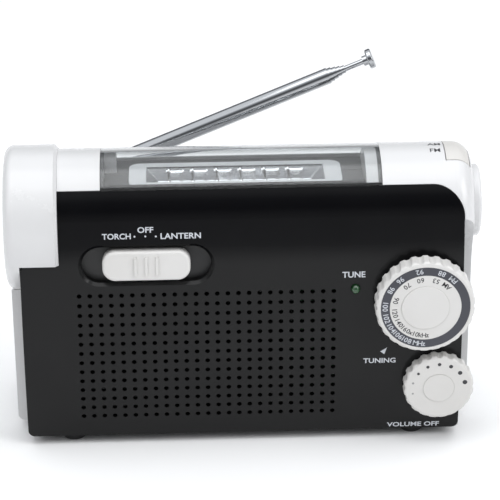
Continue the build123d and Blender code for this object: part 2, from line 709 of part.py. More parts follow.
def crank():
    hub = rod_x(hub_bottom, hub_front, 0, barrel_z, hub_radius)
    hub = fillet(hub.edges().group_by(Axis.X)[-1], 1.4)
    pin_x = half_shell + slide_fit + crank_arm_thickness / 2
    slot_half = crank_slot / 2
    arm_floor = pin_x - crank_arm_thickness / 2 - 1.4
    hub -= block(arm_floor, hub_front + 1, -slot_half, slot_half, barrel_z - hub_radius - 1, barrel_z + 13.4)
    knob_place = crank_reach - crank_hinge
    knob_floor = arm_floor - crank_knob_length + 0.4
    hub -= block(knob_floor, arm_floor + 1, -slot_half, slot_half, barrel_z + knob_place - crank_knob_radius - 0.6,
                 barrel_z + 14.0)
    hinge = rod_y(-slot_half - 2, slot_half + 2, pin_x, barrel_z - crank_hinge, 1.0)
    save("crank_hub", hub - hinge)
    save("crank_hinge_pin", hinge)

    half = crank_arm_width / 2
    arm = block(pin_x - crank_arm_thickness / 2, pin_x + crank_arm_thickness / 2, -half, half,
                barrel_z - crank_hinge, barrel_z + knob_place)
    arm += rod_y(-half, half, pin_x, barrel_z - crank_hinge, crank_arm_thickness / 2)
    arm += rod_x(pin_x - crank_arm_thickness / 2, pin_x + crank_arm_thickness / 2, 0, barrel_z + knob_place, half)
    arm -= rod_y(-half - 1, half + 1, pin_x, barrel_z - crank_hinge, 1.0 + shaft_fit)
    arm_back = pin_x - crank_arm_thickness / 2
    spindle = rod_x(arm_back - crank_knob_length, arm_back + crank_arm_thickness, 0, barrel_z + knob_place, pin_radius)
    spindle += rod_x(arm_back - crank_knob_length, arm_back - crank_knob_length + 0.8, 0, barrel_z + knob_place, 2.2)
    save("crank_arm", arm - spindle)
    save("crank_spindle", spindle)
    knob = rod_x(arm_back - crank_knob_length + 0.1, arm_back - 0.2, 0, barrel_z + knob_place, crank_knob_radius)
    knob = fillet(knob.edges().group_by(Axis.X)[0], 0.8)
    knob -= rod_x(arm_back - 20, arm_back + 1, 0, barrel_z + knob_place, pin_radius + shaft_fit)
    knob -= rod_x(arm_back - 20, arm_back - crank_knob_length + 1.0, 0, barrel_z + knob_place, 2.5)
    save("crank_knob", knob)

    to_idler = degrees(atan2(idler_z - barrel_z, idler_y))
    wheel = gear_x(crank_teeth, plate_left + 9.6, 0, barrel_z, 4.4, to_idler)
    shaft = rod_x(plate_left + 0.2, hub_bottom, 0, barrel_z, crank_shaft_radius)
    save("crank_gear", wheel + shaft)

    pinion = gear_x(idler_pinion_teeth, plate_left + 9.2, idler_y, idler_z, 5.2, to_idler + 180 + 180 / idler_pinion_teeth)
    to_dynamo = degrees(atan2(dynamo_z - idler_z, dynamo_y - idler_y))
    wheel = gear_x(idler_teeth, plate_left + 3.2, idler_y, idler_z, 4.0, to_dynamo)
    axle = rod_x(plate_left + 0.2, plate_right - 0.2, idler_y, idler_z, 1.5)
    collar = rod_x(plate_left + 7.0, plate_left + 9.4, idler_y, idler_z, 2.6)
    save("idler_gear", pinion + wheel + axle + collar)

    pinion = gear_x(dynamo_teeth, plate_left + 2.4, dynamo_y, dynamo_z, 5.6, to_dynamo + 180 + 180 / dynamo_teeth)
    pinion += rod_x(plate_left - 6, plate_left + 3, dynamo_y, dynamo_z, 1.0)
    save("dynamo_pinion", pinion)
    dynamo = rod_x(plate_left - 13, plate_left, dynamo_y, dynamo_z, 11.0)
    save("dynamo", dynamo - rod_x(plate_left - 6.2, plate_left + 1, dynamo_y, dynamo_z, 1.0 + shaft_fit))

    low_z = dynamo_z - 9
    high_z = barrel_z + 6
    frame = block(plate_left, plate_left + 1.5, -6, gear_back, low_z, high_z)
    frame += block(plate_right - 1.6, plate_right, -6, gear_back, low_z, high_z)
    for y, z in ((-4, low_z + 2), (gear_back - 2, low_z + 2), (gear_back - 2, high_z - 2)):
        frame += rod_x(plate_left, plate_right, y, z, 1.8)
    frame -= rod_x(plate_left - 1, plate_right + 1, 0, barrel_z, crank_shaft_radius + shaft_fit)
    frame -= rod_x(plate_left - 1, plate_right + 1, idler_y, idler_z, 1.5 + shaft_fit)
    frame -= rod_x(plate_left - 1, plate_left + 2, dynamo_y, dynamo_z, 1.6)
    save("gearbox_frame", frame & cabinet_bar(plate_left, plate_right, wall))


def power():
    x0 = battery_left
    x1 = battery_left + battery_length
    z0 = battery_bottom
    z1 = battery_bottom + battery_high
    cell_y = -surface_y(z0) - wall - 1.2 - cell_radius
    tray = cabinet_bar(x0, x1, wall) & block(x0, x1, cell_y - cell_radius - 1.6, depth, z0, z1)
    tray -= block(x0 + 1.4, x1 - 1.4, cell_y - cell_radius, depth, z0 + 1.4, z1 - 1.4)
    save("battery_tray", tray)
    cells = []
    contacts = []
    for index in range(3):
        z = z0 + 1.1 + cell_pitch_z * (index + 0.5)
        side = 1 if index % 2 else -1
        middle = (x0 + x1) / 2
        start = middle - side * (cell_length / 2)
        cell = rod_x(middle - cell_length / 2, middle + cell_length / 2, cell_y, z, cell_radius)
        cell -= rod_x(min(start, start + side), max(start, start + side), cell_y, z, cell_radius)
        cell += rod_x(min(start, start + side * 1.5), max(start, start + side * 1.5), cell_y, z, 2.7)
        cells.append(cell)
        for x in (x0 + 1.4, x1 - 1.4 - 0.6):
            contacts.append(block(x, x + 0.6, cell_y - 5, cell_y + 5, z - 5, z + 5))
    save("batteries", *cells)
    save("battery_contacts", *contacts)

    hinge_z = z0 + 1.4 + wall / 2
    skin = cabinet_bar(x0, x1) - cabinet_bar(x0 - 1, x1 + 1, wall)
    door = skin & block(x0 + 1.4 + seam, x1 - 1.4 - seam, 0, depth, hinge_z, z1 - 1.4 - seam)
    hinge_y = -surface_y(hinge_z) - wall / 2
    door += rod_x(x0 + 1.4 + seam, x1 - 1.4 - seam, hinge_y, hinge_z, wall / 2 - 0.05)
    save("battery_door", door)


def fixings():
    screws = []
    for x, z in screw_places:
        seat = -surface_y(z) - 3.2
        screws.append(rod_y(seat, seat + 1.8, x, z, 2.8) + rod_y(split_y - 8, seat, x, z, screw_radius))
    save("cabinet_screws", *screws)
    feet = []
    for x in (-half_panel + foot_inset, half_panel - foot_inset):
        for y in (-half_depth + foot_setback, half_depth - foot_setback):
            foot = rod_z(0, foot_height, x, y, foot_radius)
            feet.append(chamfer(foot.edges().group_by(Axis.Z)[0], 0.5))
    save("feet", *feet)


def main():
    os.makedirs("parts", exist_ok=True)
    save("front_cabinet", front_cabinet())
    save("rear_cabinet", rear_cabinet())
    torch()
    lantern()
    lamp_switch()
    controls()
    speaker()
    ferrite()
    band()
    aerial()
    crank()
    power()
    fixings()


main()
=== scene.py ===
import math

import bpy
from mathutils import Matrix, Vector


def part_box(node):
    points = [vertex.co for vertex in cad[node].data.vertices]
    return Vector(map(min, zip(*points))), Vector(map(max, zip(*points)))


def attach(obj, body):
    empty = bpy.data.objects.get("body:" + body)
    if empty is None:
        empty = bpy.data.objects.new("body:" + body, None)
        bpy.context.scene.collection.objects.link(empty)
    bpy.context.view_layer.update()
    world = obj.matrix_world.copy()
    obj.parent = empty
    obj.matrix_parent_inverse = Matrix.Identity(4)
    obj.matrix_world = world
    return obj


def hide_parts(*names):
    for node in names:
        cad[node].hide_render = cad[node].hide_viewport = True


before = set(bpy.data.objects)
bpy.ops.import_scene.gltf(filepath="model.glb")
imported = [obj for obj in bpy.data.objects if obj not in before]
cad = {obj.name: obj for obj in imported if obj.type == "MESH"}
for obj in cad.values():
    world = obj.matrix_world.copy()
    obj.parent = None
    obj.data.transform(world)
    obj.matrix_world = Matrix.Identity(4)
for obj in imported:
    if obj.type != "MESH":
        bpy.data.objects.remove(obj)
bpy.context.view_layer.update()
mm = 0.001

print("stage: frame loaded,", len(cad), "nodes")


class Wire:  # a shader socket that takes part in sums
    def __init__(self, finish, socket):
        self.finish = finish
        self.socket = socket

    def calc(self, operation, first, second=0.0):
        return self.finish.node("ShaderNodeMath", {"operation": operation}, {0: first, 1: second})

    def __add__(self, other):
        return self.calc("ADD", self, other)

    def __radd__(self, other):
        return self.calc("ADD", other, self)

    def __sub__(self, other):
        return self.calc("SUBTRACT", self, other)

    def __rsub__(self, other):
        return self.calc("SUBTRACT", other, self)

    def __mul__(self, other):
        return self.calc("MULTIPLY", self, other)

    def __rmul__(self, other):
        return self.calc("MULTIPLY", other, self)

    def __truediv__(self, other):
        return self.calc("DIVIDE", self, other)

    def __pow__(self, other):
        return self.calc("POWER", self, other)

    def __abs__(self):
        return self.calc("ABSOLUTE", self)


class Finish:  # one material, its shader and the nodes that feed it
    def __init__(self, name, fixed):
        self.material = bpy.data.materials.new(name)
        self.material.use_nodes = True
        self.tree = self.material.node_tree
        self.shader = self.tree.nodes["Principled BSDF"]
        for socketName, value in fixed.items():
            self.shader.inputs[socketName].default_value = value
        self.place = self.node("ShaderNodeTexCoord", {}, {}, "Object")

    def feed(self, socket, value):
        if isinstance(value, Wire):
            self.tree.links.new(value.socket, socket)
        else:
            socket.default_value = value

    def node(self, kind, settings, inputs, output=0):
        made = self.tree.nodes.new(kind)
        for name, value in settings.items():
            if name == "stops":
                for index, (position, colour) in enumerate(value):
                    if index > 1:
                        made.color_ramp.elements.new(position)
                    made.color_ramp.elements[index].position = position
                    made.color_ramp.elements[index].color = colour
            else:
                setattr(made, name, value)
        for name, value in inputs.items():
            self.feed(made.inputs[name], value)
        return Wire(self, made.outputs[output])

    def turned(self, rotation=(0, 0, 0), scale=(1, 1, 1), location=(0, 0, 0)):
        return self.node("ShaderNodeMapping", {}, {"Vector": self.place, "Location": location,
                                                   "Rotation": rotation, "Scale": scale})

    def noise(self, scale, detail=2.0, rough=0.5, place=None):
        return self.node("ShaderNodeTexNoise", {}, {"Vector": place or self.place, "Scale": scale,
                                                    "Detail": detail, "Roughness": rough}, "Fac")

    def axis(self, name, place=None):
        return self.node("ShaderNodeSeparateXYZ", {}, {0: place or self.place}, name)

    def rise(self, value, low, high):  # 0 below low, 1 above high, smooth between
        return self.node("ShaderNodeMapRange", {"interpolation_type": "SMOOTHSTEP", "clamp": True},
                         {"Value": value, "From Min": low, "From Max": high})

    def blend(self, share, first, second):  # two colours
        return self.node("ShaderNodeMix", {"data_type": "RGBA"}, {0: share, 6: first, 7: second}, 2)

    def bump(self, height, distance, strength=1.0, normal=None):
        inputs = {"Height": height, "Distance": distance, "Strength": strength}
        if normal:
            inputs["Normal"] = normal
        return self.node("ShaderNodeBump", {}, inputs)

    def softEdge(self, radius):
        return self.node("ShaderNodeBevel", {"samples": 4}, {"Radius": radius})

    def edgeMask(self, radius):  # 1 on sharp outside and inside edges
        rounded = self.node("ShaderNodeBevel", {"samples": 4}, {"Radius": radius})
        straight = self.node("ShaderNodeNewGeometry", {}, {}, "Normal")
        likeness = self.node("ShaderNodeVectorMath", {"operation": "DOT_PRODUCT"},
                             {0: rounded, 1: straight}, "Value")
        return self.rise(1.0 - likeness, 0.02, 0.2)

    def finish(self, **links):
        names = {"colour": "Base Color", "roughness": "Roughness", "metallic": "Metallic",
                 "coat": "Coat Weight", "alpha": "Alpha", "glow": "Emission Color", "normal": "Normal"}
        for name, value in links.items():
            self.feed(self.shader.inputs[names[name]], value)
        return self.material


def rgb(red, green, blue):
    return (red, green, blue, 1.0)


def mouldedPlastic(name, colour, dirt, gloss, peel=0.00002, coat=0.25):
    make = Finish(name, {"IOR": 1.5, "Coat Roughness": 0.08, "Subsurface Weight": 0.0})
    cloud = make.noise(14.0, 4.0, 0.55)
    fine = make.noise(900.0, 3.0, 0.6)
    haze = make.noise(55.0, 5.0, 0.7)
    edge = make.edgeMask(0.0006)
    shade = make.blend(make.rise(cloud, 0.35, 0.75) * 0.6 + edge * 0.25, colour, dirt)
    rough = gloss + (haze - 0.5) * 0.10 + edge * 0.08
    normal = make.bump(fine, peel, 0.6, make.softEdge(0.0004))
    return make.finish(colour=shade, roughness=rough, coat=coat, normal=normal)


def frontPanelPlastic():
    panel = {"split": 0.0905, "soft": 0.0055, "grain": 1500.0}
    make = Finish("black_panel", {"IOR": 1.5, "Specular IOR Level": 0.04,
                                  "Coat Roughness": 0.13, "Coat IOR": 1.5})
    height = make.axis("Z")
    upper = make.rise(height, panel["split"] - panel["soft"], panel["split"] + panel["soft"])
    haze = make.noise(40.0, 4.0, 0.6)
    grain = make.noise(panel["grain"], 3.0, 0.6)
    dust = make.rise(make.noise(700.0, 2.0, 0.7), 0.72, 0.8)
    lower = make.blend(haze, rgb(0.0065, 0.0065, 0.007), rgb(0.0095, 0.0095, 0.0095))
    gloss = make.blend(haze, rgb(0.0022, 0.0022, 0.0028), rgb(0.0036, 0.0036, 0.0044))
    shade = make.blend(upper, lower, gloss)
    shade = make.blend(dust * 0.05, shade, rgb(0.2, 0.2, 0.2))
    rough = 0.45 - upper * 0.2 + (haze - 0.5) * 0.1
    coat = 0.36 - upper * 0.22 + (haze - 0.5) * 0.05
    normal = make.bump(grain * (1.0 - upper * 0.85), 0.000025, 0.5, make.softEdge(0.0008))
    return make.finish(colour=shade, roughness=rough, coat=coat, normal=normal)


def mattePlastic(name, colour, second, roughness=0.5, grain=1100.0, depth=0.00003):
    make = Finish(name, {"IOR": 1.48})
    speck = make.noise(grain, 4.0, 0.65)
    cloud = make.noise(30.0, 4.0, 0.6)
    shade = make.blend(make.rise(cloud, 0.3, 0.75), colour, second)
    rough = roughness + (speck - 0.5) * 0.18
    return make.finish(colour=shade, roughness=rough,
                       normal=make.bump(speck, depth, 0.6, make.softEdge(0.0003)))


def polishedMetal(name, colour, roughness, turn=(0, 0, 0), stretch=(0.02, 1, 1),
                  tarnish=rgb(0.42, 0.42, 0.42)):
    make = Finish(name, {})
    along = make.turned(turn, stretch)
    brush = make.noise(2600.0, 3.0, 0.6, along)
    spots = make.rise(make.noise(160.0, 5.0, 0.7), 0.58, 0.78)
    shade = make.blend(spots * 0.35, colour, tarnish)
    rough = roughness + brush * 0.07 + spots * 0.12
    return make.finish(colour=shade, roughness=rough, metallic=1.0, normal=make.bump(brush, 0.000004, 0.5))


def clearPlastic(name, tint, roughness=0.02):
    make = Finish(name, {"Transmission Weight": 1.0, "IOR": 1.46})
    haze = make.noise(60.0, 4.0, 0.6)
    scratch = make.rise(make.noise(500.0, 2.0, 0.5, make.turned((0, 0, 0.5), (0.05, 1, 1))), 0.68, 0.74)
    rough = roughness + haze * 0.006 + scratch * 0.02
    return make.finish(colour=tint, roughness=rough, normal=make.bump(haze, 0.000004, 0.3))


def trayPlastic():
    return mattePlastic("tray_grey", rgb(0.062, 0.063, 0.063), rgb(0.082, 0.083, 0.082), 0.42, 1300.0)


def reflectorCoating():
    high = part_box("lantern_reflector")[1]
    make = Finish("reflector_silver", {"IOR": 1.5})
    height = make.axis("Z")
    face = make.rise(height, high.z - 0.0005, high.z - 0.0002)
    haze = make.noise(70.0, 4.0, 0.6)
    fine = make.noise(1500.0, 2.0, 0.6)
    painted = make.blend(haze, rgb(0.70, 0.72, 0.73), rgb(0.77, 0.78, 0.79))
    shade = make.blend(face, rgb(0.82, 0.83, 0.84), painted)
    rough = make.rise(face, 0.0, 1.0) * 0.30 + 0.06 + haze * 0.05
    return make.finish(colour=shade, roughness=rough, metallic=1.0 - face * 0.85,
                       normal=make.bump(fine, 0.000008, 0.5, make.softEdge(0.0003)))


def rubber():
    make = Finish("foot_rubber", {"IOR": 1.45, "Sheen Weight": 0.15})
    grain = make.noise(1400.0, 4.0, 0.7)
    dust = make.noise(90.0, 4.0, 0.6)
    shade = make.blend(make.rise(dust, 0.45, 0.8) * 0.5, rgb(0.010, 0.010, 0.011), rgb(0.045, 0.043, 0.040))
    return make.finish(colour=shade, roughness=0.68 + grain * 0.2, normal=make.bump(grain, 0.00006, 0.7))


def lampGreen():
    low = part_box("tune_lamp")[0]
    make = Finish("lamp_green", {"IOR": 1.5, "Transmission Weight": 0.35, "Coat Weight": 1.0})
    depth = make.axis("Y")
    # painted light and shade: the lens is coloured bright green at its front tip and darkens towards its base
    # where it meets the panel
    tip = make.rise(depth, low.y, low.y + 0.0025)
    cloud = make.noise(900.0, 3.0, 0.6)
    shade = make.blend(tip * 0.5 + cloud * 0.2, rgb(0.004, 0.085, 0.014), rgb(0.001, 0.012, 0.003))
    return make.finish(colour=shade, roughness=0.10 + cloud * 0.1, normal=make.bump(cloud, 0.00001, 0.4))


def circuitBoard(name, mask, copper, facing="Y"):
    make = Finish(name, {"IOR": 1.5})
    track = make.node("ShaderNodeTexBrick", {"offset": 0.37, "squash": 1.6}, {
        "Vector": make.turned((math.pi / 2 if facing == "Y" else 0, 0, 0), (1, 1, 1)), "Scale": 210.0,
        "Mortar Size": 0.06, "Mortar Smooth": 0.2,
        "Color1": rgb(0, 0, 0), "Color2": rgb(0, 0, 0), "Mortar": rgb(1, 1, 1)})
    line = make.axis("X", track)
    weave = make.noise(2500.0, 2.0, 0.6)
    shade = make.blend(line * 0.6, mask, copper)
    return make.finish(colour=shade, roughness=0.30 + weave * 0.12 - line * 0.08,
                       normal=make.bump(line, 0.00004, 0.5))


def mainBoardFinish():
    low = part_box("main_board")[0]
    make = Finish("main_board_green", {"IOR": 1.5})
    back = make.axis("Y")
    chip = make.rise(back, low.y + 0.00162, low.y + 0.0018)
    track = make.node("ShaderNodeTexBrick", {"offset": 0.37, "squash": 1.6}, {
        "Vector": make.turned((math.pi / 2, 0, 0)), "Scale": 190.0, "Mortar Size": 0.05, "Mortar Smooth": 0.2,
        "Color1": rgb(0, 0, 0), "Color2": rgb(0, 0, 0), "Mortar": rgb(1, 1, 1)})
    line = make.axis("X", track)
    weave = make.noise(2500.0, 2.0, 0.6)
    board = make.blend(line * 0.6, rgb(0.012, 0.11, 0.035), rgb(0.05, 0.22, 0.07))
    shade = make.blend(chip, board, rgb(0.012, 0.012, 0.013))
    return make.finish(colour=shade, roughness=0.32 + weave * 0.12 + chip * 0.15,
                       normal=make.bump(line * (1.0 - chip), 0.00004, 0.5))


def paperCone():
    make = Finish("paper_cone", {"IOR": 1.4, "Sheen Weight": 0.2})
    fibre = make.noise(1800.0, 5.0, 0.75)
    cloud = make.noise(220.0, 4.0, 0.6)
    shade = make.blend(cloud, rgb(0.018, 0.018, 0.019), rgb(0.035, 0.034, 0.034))
    return make.finish(colour=shade, roughness=0.78 + fibre * 0.15, normal=make.bump(fibre, 0.0001, 0.7))


def windings():
    make = Finish("copper_windings", {})
    turns = make.node("ShaderNodeTexWave", {"wave_type": "BANDS", "bands_direction": "X"},
                      {"Vector": make.place, "Scale": 480.0, "Distortion": 0.4, "Detail": 1.0}, "Fac")
    cloud = make.noise(160.0, 3.0, 0.6)
    shade = make.blend(turns, rgb(0.20, 0.055, 0.018), rgb(0.68, 0.27, 0.11))
    return make.finish(colour=shade, roughness=0.28 + cloud * 0.15, metallic=0.9,
                       normal=make.bump(turns, 0.00012, 0.9))


def ceramic():
    make = Finish("ferrite_ceramic", {"IOR": 1.6})
    speck = make.noise(1600.0, 5.0, 0.7)
    shade = make.blend(speck, rgb(0.022, 0.022, 0.024), rgb(0.06, 0.06, 0.062))
    return make.finish(colour=shade, roughness=0.48 + speck * 0.2, normal=make.bump(speck, 0.00005, 0.6))


def batterySleeve():
    low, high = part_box("batteries")
    make = Finish("battery_sleeve", {"IOR": 1.5, "Coat Weight": 0.5})
    along = make.axis("X")
    left = 1.0 - make.rise(along, low.x + 0.0018, low.x + 0.002)
    right = make.rise(along, high.x - 0.002, high.x - 0.0018)
    bare = left + right
    band = make.rise(along, low.x + 0.036, low.x + 0.0362)
    print_ = make.noise(500.0, 3.0, 0.6)
    sleeve = make.blend(band, rgb(0.02, 0.045, 0.10), rgb(0.45, 0.46, 0.47))
    shade = make.blend(bare, sleeve, rgb(0.62, 0.62, 0.60))
    return make.finish(colour=shade, roughness=0.24 + print_ * 0.08, metallic=bare * 0.9 + 0.1 * print_,
                       normal=make.bump(print_, 0.00001, 0.4))


def inkFinish(name, colour, wear):
    make = Finish(name, {"IOR": 1.5})
    grit = make.noise(2500.0, 4.0, 0.7)
    shade = make.blend(make.rise(grit, 0.4, 0.8) * 0.5, colour, wear)
    return make.finish(colour=shade, roughness=0.42 + grit * 0.15, normal=make.bump(grit, 0.000006, 0.5))


def ledCellMetal():
    make = Finish("cell_mirror", {"Coat Weight": 0.6, "Coat Roughness": 0.04})
    sweep = make.noise(420.0, 3.0, 0.6, make.turned((0, 0, 0), (0.15, 1, 1)))
    shade = make.blend(sweep, rgb(0.62, 0.63, 0.64), rgb(0.86, 0.87, 0.88))
    return make.finish(colour=shade, roughness=0.07 + sweep * 0.10, metallic=1.0,
                       normal=make.bump(sweep, 0.00004, 0.5, make.softEdge(0.0003)))


lift = math.radians(22.7)  # how far the aerial leans up, for the grain of its chrome

finishes = {
    "shell": mouldedPlastic("shell_white", rgb(0.695, 0.695, 0.70), rgb(0.64, 0.64, 0.64), 0.26),
    "knob": mouldedPlastic("knob_white", rgb(0.70, 0.69, 0.675), rgb(0.62, 0.605, 0.58), 0.34,
                           0.000015, 0.15),
    "band": mouldedPlastic("band_warm_white", rgb(0.66, 0.645, 0.62), rgb(0.58, 0.56, 0.53), 0.36,
                           0.000015, 0.1),
    "panel": frontPanelPlastic(),
    "slate": mattePlastic("dial_slate", rgb(0.045, 0.047, 0.060), rgb(0.058, 0.060, 0.074), 0.38,
                          1600.0, 0.00001),
    "tray": trayPlastic(),
    "silver": reflectorCoating(),
    "cover": clearPlastic("clear_cover", rgb(0.97, 0.985, 0.99)),
    "lens": clearPlastic("clear_lens", rgb(0.98, 0.99, 0.99), 0.01),
    "bulb": clearPlastic("clear_bulb", rgb(0.96, 0.97, 0.90), 0.05),
    "mirror": polishedMetal("torch_mirror", rgb(0.88, 0.88, 0.88), 0.05),
    "cells": ledCellMetal(),
    # painted shade: the aerial's chrome is coloured much darker than the same plating on the swivel and pin,
    # to stand for dimmer reflections
    "chrome": polishedMetal("aerial_chrome_painted_shade", rgb(0.43, 0.44, 0.455), 0.045, (0, lift, 0)),
    "plated": polishedMetal("plated_chrome", rgb(0.66, 0.67, 0.68), 0.08, (0, 0, 0), (1, 0.1, 1)),
    "steel": polishedMetal("bright_steel", rgb(0.52, 0.52, 0.52), 0.26, (0, 0, 0), (1, 0.05, 1),
                           rgb(0.30, 0.29, 0.28)),
    "can": polishedMetal("rolled_steel", rgb(0.56, 0.56, 0.56), 0.32, (0, 0, 0), (0.05, 1, 1),
                         rgb(0.33, 0.32, 0.31)),
    "brass": polishedMetal("turned_brass", rgb(0.72, 0.55, 0.24), 0.22, (0, 0, 0), (1, 0.05, 1),
                           rgb(0.35, 0.24, 0.10)),
    "iron": mattePlastic("magnet_iron", rgb(0.055, 0.055, 0.058), rgb(0.085, 0.083, 0.08), 0.5,
                         1200.0, 0.00006),
    "rubber": rubber(),
    "green": lampGreen(),
    "lampBoard": circuitBoard("lamp_board_green", rgb(0.012, 0.11, 0.035), rgb(0.05, 0.22, 0.07), "Z"),
    "torchBoard": mattePlastic("torch_board_white", rgb(0.72, 0.72, 0.68), rgb(0.62, 0.62, 0.58), 0.4),
    "mainBoard": mainBoardFinish(),
    "paper": paperCone(),
    "black": mattePlastic("black_plastic", rgb(0.014, 0.014, 0.015), rgb(0.022, 0.022, 0.022), 0.42),
    "cream": mattePlastic("cream_plastic", rgb(0.62, 0.60, 0.53), rgb(0.54, 0.52, 0.46), 0.4),
    "nylon": mattePlastic("gear_nylon", rgb(0.68, 0.66, 0.58), rgb(0.58, 0.56, 0.49), 0.38),
    "grey": mattePlastic("frame_grey", rgb(0.30, 0.30, 0.29), rgb(0.24, 0.24, 0.235), 0.45),
    "coil": windings(),
    "ferrite": ceramic(),
    "sleeve": batterySleeve(),
}

wearing = {
    "shell": ["rear_cabinet", "torch_housing", "lantern_end_left", "lantern_end_right",
              "battery_door", "crank_hub"],
    "panel": ["front_cabinet"],
    "knob": ["tuning_knob", "tuning_cap", "volume_knob", "volume_cap", "lamp_slider", "crank_arm"],
    "band": ["band_knob"],
    "slate": ["tuning_scale"],
    "tray": ["lantern_tray"],
    "silver": ["lantern_reflector"],
    "cover": ["lantern_cover"],
    "lens": ["torch_lens"],
    "bulb": ["torch_led"],
    "mirror": ["torch_reflector"],
    "chrome": ["aerial_tube", "aerial_section_2", "aerial_section_3", "aerial_section_4", "aerial_section_5",
               "aerial_section_6", "aerial_tip"],
    "plated": ["aerial_swivel", "aerial_pin"],
    "steel": ["cabinet_screws", "battery_contacts", "crank_hinge_pin", "crank_spindle", "volume_shaft"],
    "can": ["dynamo", "volume_potentiometer", "band_switch"],
    "brass": ["tuning_shaft", "dynamo_pinion"],
    "iron": ["speaker_magnet", "speaker_frame"],
    "rubber": ["feet"],
    "green": ["tune_lamp"],
    "lampBoard": ["lantern_board"],
    "torchBoard": ["torch_board"],
    "mainBoard": ["main_board"],
    "paper": ["speaker_cone"],
    "black": ["slider_plate", "lamp_switch", "battery_tray", "crank_knob"],
    "cream": ["tuning_capacitor"],
    "nylon": ["crank_gear", "idler_gear"],
    "grey": ["gearbox_frame"],
    "coil": ["ferrite_coil"],
    "ferrite": ["ferrite_rod"],
    "sleeve": ["batteries"],
}

for finishName, nodeNames in wearing.items():
    for nodeName in nodeNames:
        piece = cad[nodeName]
        if not piece.data.materials:
            piece.data.materials.append(finishes[finishName])
        for slotIndex in range(len(piece.data.materials)):
            piece.data.materials[slotIndex] = finishes[finishName]

print("stage: finishes on the cabinet and its works")


def clearSelection():
    if bpy.context.object and bpy.context.object.mode != "OBJECT":
        bpy.ops.object.mode_set(mode="OBJECT")
    bpy.ops.object.select_all(action="DESELECT")


def settle(piece, name, finish, body):  # name, finish and body of a finished piece
    clearSelection()
    piece.select_set(True)
    bpy.context.view_layer.objects.active = piece
    bpy.ops.object.transform_apply(location=True, rotation=True, scale=True)
    piece.name = name
    piece.data.name = name
    piece.data.materials.clear()
    piece.data.materials.append(finish)
    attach(piece, body)
    return piece


def joined(pieces):
    clearSelection()
    for piece in pieces:
        piece.select_set(True)
    bpy.context.view_layer.objects.active = pieces[0]
    if len(pieces) > 1:
        bpy.ops.object.join()
    return bpy.context.object


def pickFaces(piece, test):  # in edit mode afterwards, with only the faces that pass selected
    clearSelection()
    piece.select_set(True)
    bpy.context.view_layer.objects.active = piece
    bpy.ops.object.mode_set(mode="EDIT")
    bpy.ops.mesh.select_mode(type="FACE")
    bpy.ops.mesh.select_all(action="DESELECT")
    bpy.ops.object.mode_set(mode="OBJECT")
    for face in piece.data.polygons:
        face.select = test(face.center, face.normal)
    bpy.ops.object.mode_set(mode="EDIT")


def onSkin(node, x, z):  # the place and the outward slope of the front skin
    return cad[node].ray_cast(Vector((x, -1.0, z)), Vector((0, 1, 0)))[1:3]


def printPlace(place, outward, turn=0.0):  # print lies flat on the skin, its own up towards +Z
    right = Vector((1, 0, 0))
    right = (right - outward * right.dot(outward)).normalized()
    up = outward.cross(right)
    across = right * math.cos(turn) + up * math.sin(turn)
    upward = outward.cross(across)
    return Matrix((
        (across.x, upward.x, outward.x, place.x),
        (across.y, upward.y, outward.y, place.y),
        (across.z, upward.z, outward.z, place.z),
        (0, 0, 0, 1)))


def printedWords(words, high, place, wide=None, weight=0.02, thick=0.00006, slant=0.0):
    clearSelection()
    bpy.ops.object.text_add(location=(0, 0, 0))
    text = bpy.context.object
    text.data.body = words
    text.data.size = 1.0
    text.data.resolution_u = 3
    text.data.offset = weight
    text.data.shear = slant
    text.data.extrude = 0.5
    bpy.ops.object.convert(target="MESH")
    mesh = text.data
    xs = [v.co.x for v in mesh.vertices]
    ys = [v.co.y for v in mesh.vertices]
    tall = high / 0.72 if wide is None else high / (max(ys) - min(ys))
    broad = tall if wide is None else wide / (max(xs) - min(xs))
    middleY = 0.36 if wide is None else (max(ys) + min(ys)) / 2
    centre = Vector(((max(xs) + min(xs)) / 2, middleY, 0))
    mesh.transform(place @ Matrix.Diagonal((broad, tall, thick, 1)) @ Matrix.Translation(-centre))
    return text


lampCells = {"count": 6, "wallThick": 0.7 * mm, "wallOver": 0.35 * mm, "round": 2.2 * mm, "slit": 0.5 * mm}


